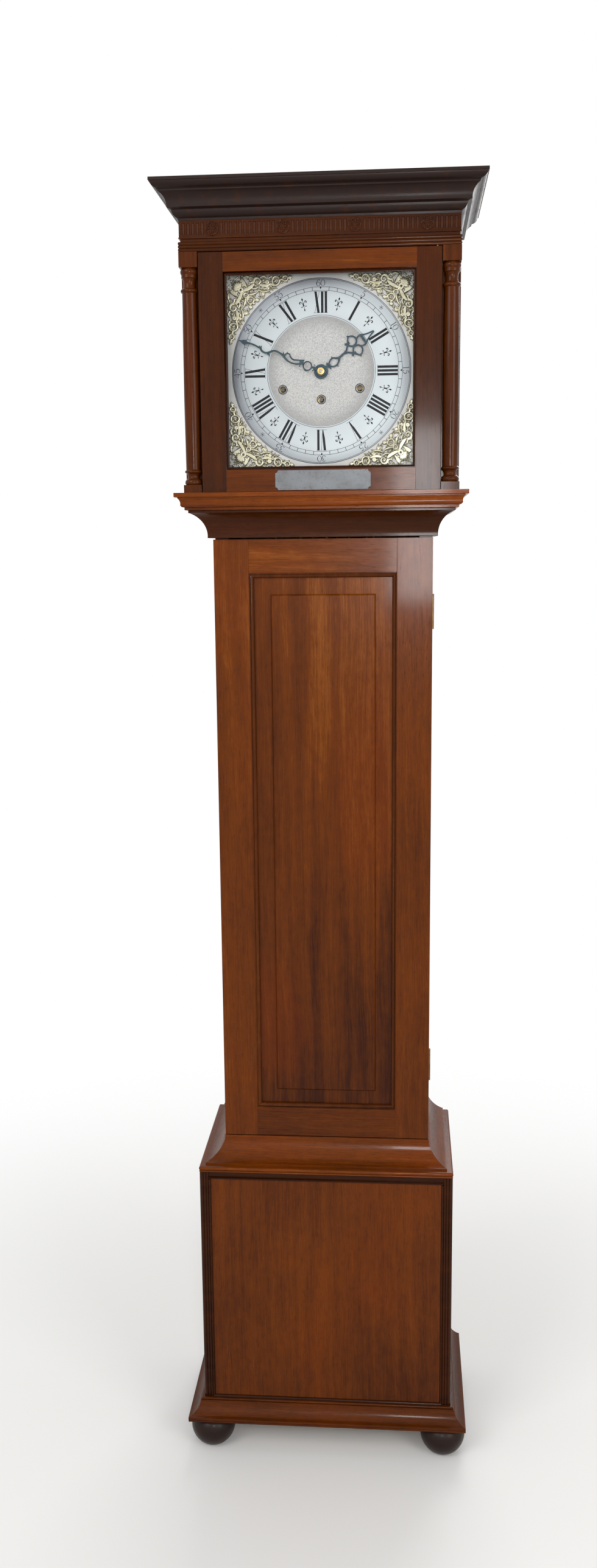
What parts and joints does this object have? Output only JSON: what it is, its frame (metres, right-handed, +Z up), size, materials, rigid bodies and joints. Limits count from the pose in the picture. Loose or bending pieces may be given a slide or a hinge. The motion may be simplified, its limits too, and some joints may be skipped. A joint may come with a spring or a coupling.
{
  "type": "longcase clock",
  "caption": "Weight-driven longcase clock with a sliding hood, glazed hood door, panelled trunk door, silvered dial, seconds pendulum and bun feet.",
  "frame": {"origin": "on the floor, at the middle of the outline's width and depth, under the feet", "axes": "+Z up, +X to the right as seen from the front, the front faces -Y"},
  "size_m": [0.427, 0.2496, 1.7984],
  "materials": {
    "mahogany": "french polished mahogany",
    "dark_mahogany": "near-black polished mahogany",
    "ebonised": "ebonised turned wood",
    "oak_board": "plain unpolished board",
    "silvered": "silvered brass",
    "cast_brass": "cast and silvered brass",
    "brass": "polished brass",
    "blued_steel": "blued steel",
    "steel": "bright steel",
    "gut_line": "twisted gut line",
    "glass": "clear window glass"
  },
  "bodies": {
    "case": {"bun_feet": "ebonised", "plinth_moulding": "mahogany", "base_floor": "oak_board", "base_front_panel": "mahogany", "base_side_panels": "mahogany", "base_reeded_trim": "mahogany", "base_cove_moulding": "mahogany", "backboard": "oak_board", "trunk_carcase": "mahogany", "throat_moulding": "mahogany", "seatboard": "oak_board", "trunk_hinge_fixed_leaves": "brass", "dial_plate": "silvered", "dial_spandrels": "cast_brass", "movement_plates": "brass", "movement_pillars": "brass", "movement_cocks": "brass", "chime_rods": "steel"},
    "trunk_door": {"trunk_door_stiles": "mahogany", "trunk_door_rails": "mahogany", "trunk_door_moulding": "mahogany", "trunk_door_panel": "mahogany", "trunk_door_hinge_leaves": "brass"},
    "hood": {"hood_base_moulding": "dark_mahogany", "hood_carcase": "mahogany", "hood_mask": "dark_mahogany", "hood_columns": "mahogany", "hood_frieze": "mahogany", "hood_cornice": "dark_mahogany"},
    "hood_door": {"hood_door_stiles": "mahogany", "hood_door_rails": "mahogany", "hood_door_glass": "glass", "hood_door_sight_bead": "dark_mahogany", "hood_door_pivots": "brass", "plaque": "silvered"},
    "minute_hand": {"minute_hand": "blued_steel", "hand_nut": "brass", "cannon_wheel": "brass"},
    "hour_hand": {"hour_hand": "blued_steel", "hour_wheel": "brass"},
    "minute_wheel": {"minute_wheel": "brass"},
    "centre_wheel": {"centre_wheel": "brass"},
    "third_wheel": {"third_wheel": "brass"},
    "escape_wheel": {"escape_wheel": "brass"},
    "going_great_wheel": {"going_great_wheel": "brass"},
    "strike_great_wheel": {"strike_great_wheel": "brass"},
    "chime_great_wheel": {"chime_great_wheel": "brass"},
    "anchor": {"anchor": "steel"},
    "pendulum": {"pendulum_rod": "steel", "pendulum_bob": "brass"},
    "going_drum": {"going_drum": "brass"},
    "strike_drum": {"strike_drum": "brass"},
    "chime_drum": {"chime_drum": "brass"},
    "going_weight": {"going_weight": "brass", "going_line": "gut_line"},
    "strike_weight": {"strike_weight": "brass", "strike_line": "gut_line"},
    "chime_weight": {"chime_weight": "brass", "chime_line": "gut_line"},
    "chime_hammers": {"chime_hammers": "brass"}
  },
  "joints": [
    {"name": "hood_slide", "type": "slide", "parent": "case", "child": "hood", "axis": [0, -1, 0], "range_m": [0, 0.22]},
    {"name": "hood_door_hinge", "type": "hinge", "parent": "hood", "child": "hood_door", "pos_m": [0.1512, -0.08875, 1.4108], "axis": [0, 0, 1], "range_deg": [0, 110]},
    {"name": "trunk_door_hinge", "type": "hinge", "parent": "case", "child": "trunk_door", "pos_m": [0.1493, -0.03985, 0.485], "axis": [0, 0, 1], "range_deg": [0, 120]},
    {"name": "minute_hand_turn", "type": "hinge", "parent": "case", "child": "minute_hand", "pos_m": [0, -0.06225, 1.5658], "axis": [0, 1, 0], "continuous": true},
    {"name": "hour_hand_turn", "type": "hinge", "parent": "case", "child": "hour_hand", "pos_m": [0, -0.06225, 1.5658], "axis": [0, 1, 0], "continuous": true},
    {"name": "minute_wheel_turn", "type": "hinge", "parent": "case", "child": "minute_wheel", "pos_m": [0.01556, -0.03625, 1.58136], "axis": [0, 1, 0], "continuous": true},
    {"name": "centre_wheel_turn", "type": "hinge", "parent": "case", "child": "centre_wheel", "pos_m": [0, -0.03325, 1.5658], "axis": [0, 1, 0], "continuous": true},
    {"name": "third_wheel_turn", "type": "hinge", "parent": "case", "child": "third_wheel", "pos_m": [0, -0.03325, 1.5862], "axis": [0, 1, 0], "continuous": true},
    {"name": "escape_wheel_turn", "type": "hinge", "parent": "case", "child": "escape_wheel", "pos_m": [0, -0.03325, 1.60573], "axis": [0, 1, 0], "continuous": true},
    {"name": "going_great_wheel_turn", "type": "hinge", "parent": "case", "child": "going_great_wheel", "pos_m": [0, -0.03325, 1.5304], "axis": [0, 1, 0], "continuous": true},
    {"name": "strike_great_wheel_turn", "type": "hinge", "parent": "case", "child": "strike_great_wheel", "pos_m": [-0.051, -0.03325, 1.5438], "axis": [0, 1, 0], "continuous": true},
    {"name": "chime_great_wheel_turn", "type": "hinge", "parent": "case", "child": "chime_great_wheel", "pos_m": [0.051, -0.03325, 1.5438], "axis": [0, 1, 0], "continuous": true},
    {"name": "pendulum_swing", "type": "hinge", "parent": "case", "child": "pendulum", "pos_m": [0, 0.03975, 1.62973], "axis": [0, 1, 0], "range_deg": [-2, 2]},
    {"name": "anchor_rock", "type": "hinge", "parent": "case", "child": "anchor", "pos_m": [0, 0.02175, 1.62973], "axis": [0, 1, 0], "range_deg": [-2, 2]},
    {"name": "chime_hammers_lift", "type": "hinge", "parent": "case", "child": "chime_hammers", "pos_m": [0.066, 0.02975, 1.5458], "axis": [1, 0, 0], "range_deg": [0, 12]},
    {"name": "going_weight_lift", "type": "slide", "parent": "case", "child": "going_weight", "axis": [0, 0, 1], "range_m": [0, 0.76969], "deforming": ["going_line"]},
    {"name": "going_drum_turn", "type": "hinge", "parent": "case", "child": "going_drum", "pos_m": [0, -0.00725, 1.5304], "axis": [0, 1, 0], "range_deg": [0, 5041]},
    {"name": "strike_weight_lift", "type": "slide", "parent": "case", "child": "strike_weight", "axis": [0, 0, 1], "range_m": [0, 0.76969], "deforming": ["strike_line"]},
    {"name": "strike_drum_turn", "type": "hinge", "parent": "case", "child": "strike_drum", "pos_m": [-0.051, -0.00725, 1.5438], "axis": [0, 1, 0], "range_deg": [0, 5041]},
    {"name": "chime_weight_lift", "type": "slide", "parent": "case", "child": "chime_weight", "axis": [0, 0, 1], "range_m": [0, 0.76969], "deforming": ["chime_line"]},
    {"name": "chime_drum_turn", "type": "hinge", "parent": "case", "child": "chime_drum", "pos_m": [0.051, -0.00725, 1.5438], "axis": [0, 1, 0], "range_deg": [0, 5041]}
  ],
  "couplings": [
    {"joint": "hour_hand_turn", "follows": "minute_hand_turn", "ratio": 0.083333},
    {"joint": "minute_wheel_turn", "follows": "minute_hand_turn", "ratio": -1},
    {"joint": "centre_wheel_turn", "follows": "going_great_wheel_turn", "ratio": -12},
    {"joint": "third_wheel_turn", "follows": "going_great_wheel_turn", "ratio": 90},
    {"joint": "escape_wheel_turn", "follows": "going_great_wheel_turn", "ratio": -720},
    {"joint": "anchor_rock", "follows": "pendulum_swing", "ratio": 1},
    {"joint": "going_drum_turn", "follows": "going_weight_lift", "rad_per_m": 114.29},
    {"joint": "strike_drum_turn", "follows": "strike_weight_lift", "rad_per_m": 114.29},
    {"joint": "chime_drum_turn", "follows": "chime_weight_lift", "rad_per_m": 114.29}
  ]
}
